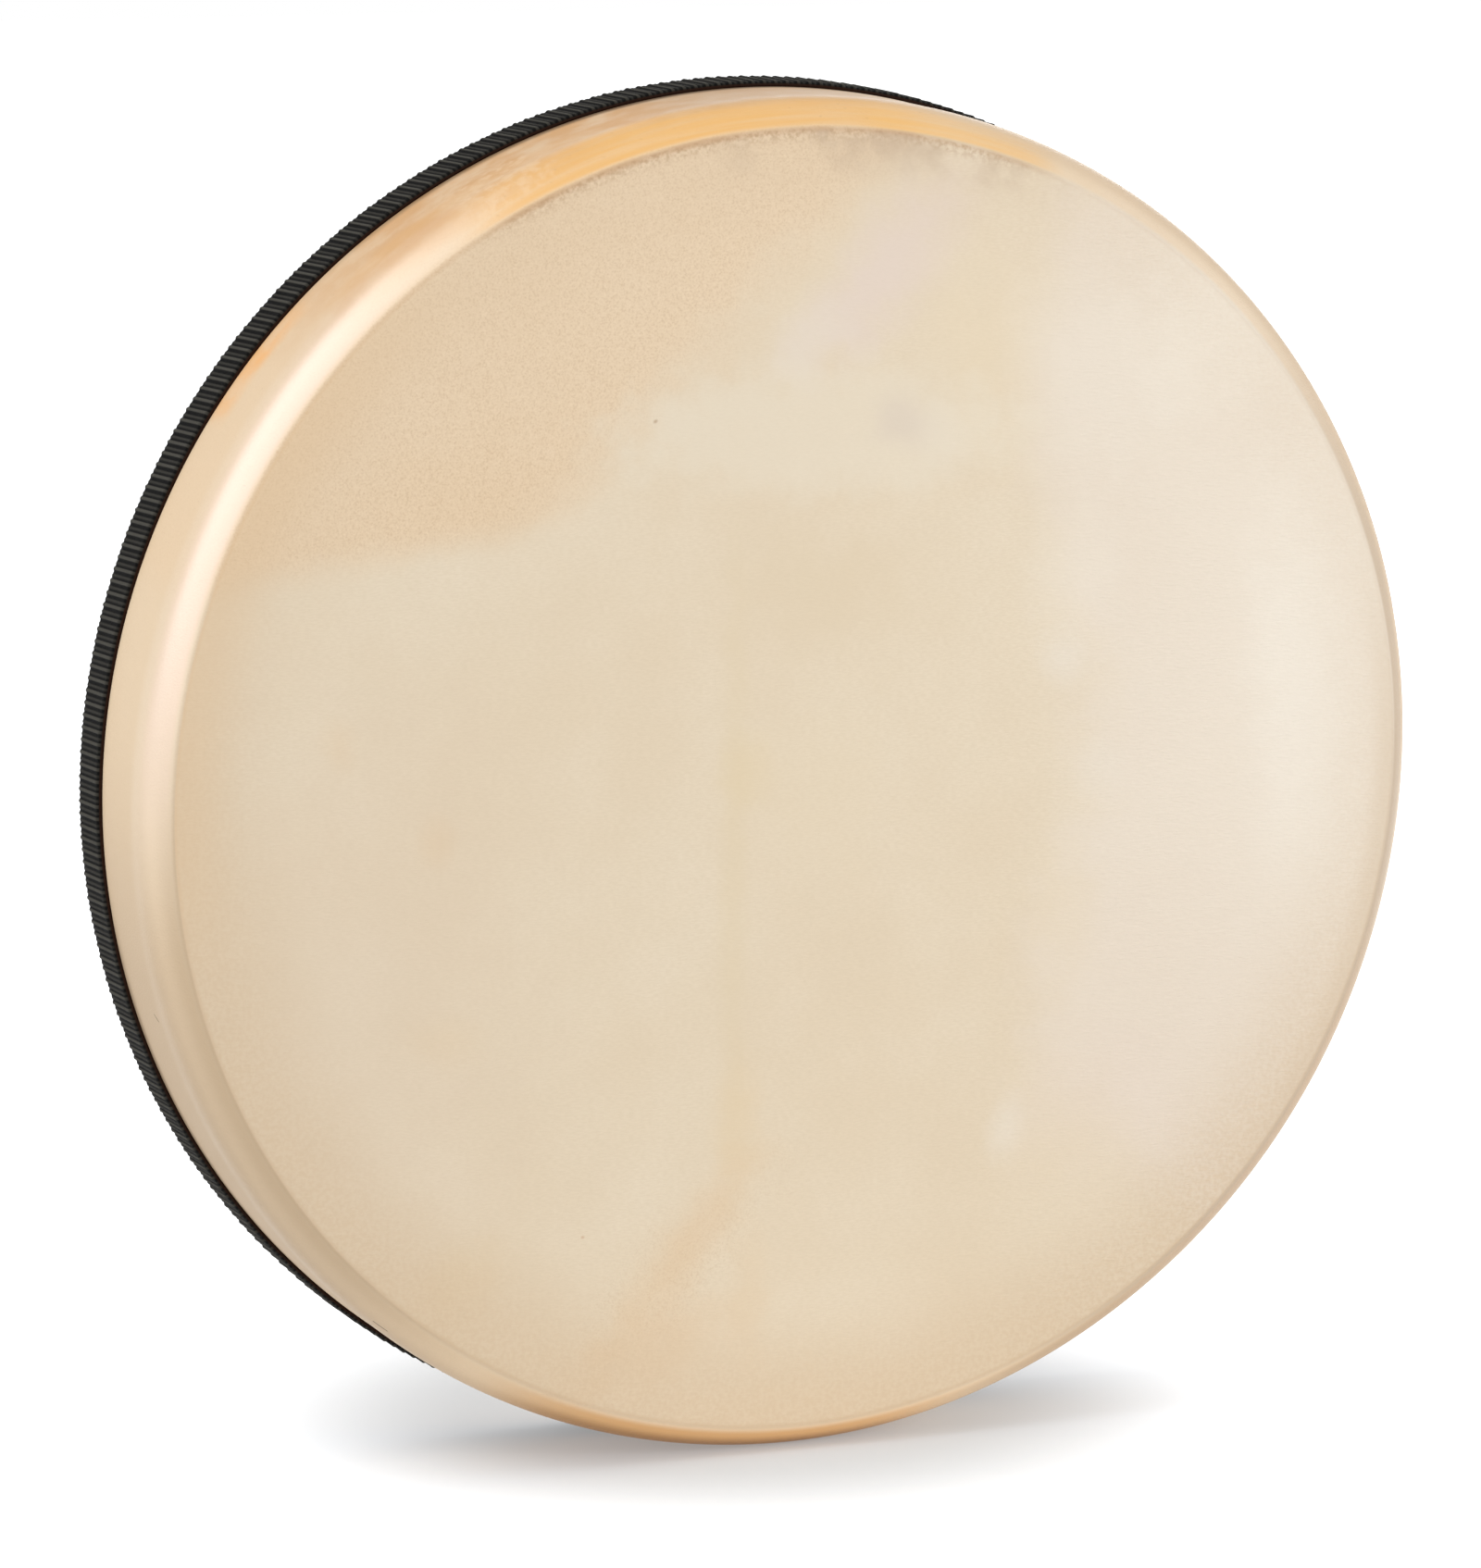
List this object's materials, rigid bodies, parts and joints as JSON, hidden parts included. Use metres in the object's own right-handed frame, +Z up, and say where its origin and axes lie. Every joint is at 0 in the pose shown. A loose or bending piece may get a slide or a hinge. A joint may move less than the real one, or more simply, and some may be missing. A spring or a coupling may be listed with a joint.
{
  "type": "ocean drum",
  "caption": "Shallow round drum with a hide head on both sides of a bent-wood hoop, a ribbed ribbon round the rear edge and loose steel beads inside that roll with a sound like surf.",
  "frame": {"origin": "on the floor under the middle of the drum, which stands on its rim", "axes": "+Z up, +Y from the front head to the rear head, level, while the drum's axis rises 1.7 degrees towards the rear; +X to the right seen from the front"},
  "size_m": [0.403, 0.0734, 0.4025],
  "materials": {
    "hide": "cream parchment hide, satin, amber where it lies on the wood",
    "wood": "plain bent wood, unvarnished inside",
    "ribbon": "black ribbed woven ribbon",
    "steel": "blued steel tacks",
    "bead_steel": "bright steel balls"
  },
  "bodies": {
    "drum": {"hoop": "wood", "front_head": "hide", "rear_head": "hide", "ribbon": "ribbon", "front_tack_1": "steel", "front_tack_2": "steel", "front_tack_3": "steel", "front_tack_4": "steel", "front_tack_5": "steel", "front_tack_6": "steel", "front_tack_7": "steel", "front_tack_8": "steel", "front_tack_9": "steel", "front_tack_10": "steel", "front_tack_11": "steel", "front_tack_12": "steel", "rear_tack_1": "steel", "rear_tack_2": "steel", "rear_tack_3": "steel", "rear_tack_4": "steel", "rear_tack_5": "steel", "rear_tack_6": "steel", "rear_tack_7": "steel", "rear_tack_8": "steel", "rear_tack_9": "steel", "rear_tack_10": "steel", "rear_tack_11": "steel", "rear_tack_12": "steel"},
    "bead_row_1": {"bead_1_1": "bead_steel", "bead_1_2": "bead_steel", "bead_1_3": "bead_steel", "bead_1_4": "bead_steel"},
    "bead_row_2": {"bead_2_1": "bead_steel", "bead_2_2": "bead_steel", "bead_2_3": "bead_steel", "bead_2_4": "bead_steel"},
    "bead_row_3": {"bead_3_1": "bead_steel", "bead_3_2": "bead_steel", "bead_3_3": "bead_steel", "bead_3_4": "bead_steel"},
    "bead_row_4": {"bead_4_1": "bead_steel", "bead_4_2": "bead_steel", "bead_4_3": "bead_steel", "bead_4_4": "bead_steel"},
    "bead_row_5": {"bead_5_1": "bead_steel", "bead_5_2": "bead_steel", "bead_5_3": "bead_steel", "bead_5_4": "bead_steel"},
    "bead_row_6": {"bead_6_1": "bead_steel", "bead_6_2": "bead_steel", "bead_6_3": "bead_steel", "bead_6_4": "bead_steel"},
    "bead_row_7": {"bead_7_1": "bead_steel", "bead_7_2": "bead_steel", "bead_7_3": "bead_steel", "bead_7_4": "bead_steel"},
    "bead_row_8": {"bead_8_1": "bead_steel", "bead_8_2": "bead_steel", "bead_8_3": "bead_steel", "bead_8_4": "bead_steel"}
  },
  "joints": [
    {"name": "bead_row_1_roll", "type": "hinge", "parent": "drum", "child": "bead_row_1", "pos_m": [0, 0, 0.20022], "axis": [0, 0.9995, 0.0301], "continuous": true},
    {"name": "bead_row_2_roll", "type": "hinge", "parent": "drum", "child": "bead_row_2", "pos_m": [0, 0, 0.20022], "axis": [0, 0.9995, 0.0301], "continuous": true},
    {"name": "bead_row_3_roll", "type": "hinge", "parent": "drum", "child": "bead_row_3", "pos_m": [0, 0, 0.20022], "axis": [0, 0.9995, 0.0301], "continuous": true},
    {"name": "bead_row_4_roll", "type": "hinge", "parent": "drum", "child": "bead_row_4", "pos_m": [0, 0, 0.20022], "axis": [0, 0.9995, 0.0301], "continuous": true},
    {"name": "bead_row_5_roll", "type": "hinge", "parent": "drum", "child": "bead_row_5", "pos_m": [0, 0, 0.20022], "axis": [0, 0.9995, 0.0301], "continuous": true},
    {"name": "bead_row_6_roll", "type": "hinge", "parent": "drum", "child": "bead_row_6", "pos_m": [0, 0, 0.20022], "axis": [0, 0.9995, 0.0301], "continuous": true},
    {"name": "bead_row_7_roll", "type": "hinge", "parent": "drum", "child": "bead_row_7", "pos_m": [0, 0, 0.20022], "axis": [0, 0.9995, 0.0301], "continuous": true},
    {"name": "bead_row_8_roll", "type": "hinge", "parent": "drum", "child": "bead_row_8", "pos_m": [0, 0, 0.20022], "axis": [0, 0.9995, 0.0301], "continuous": true}
  ]
}
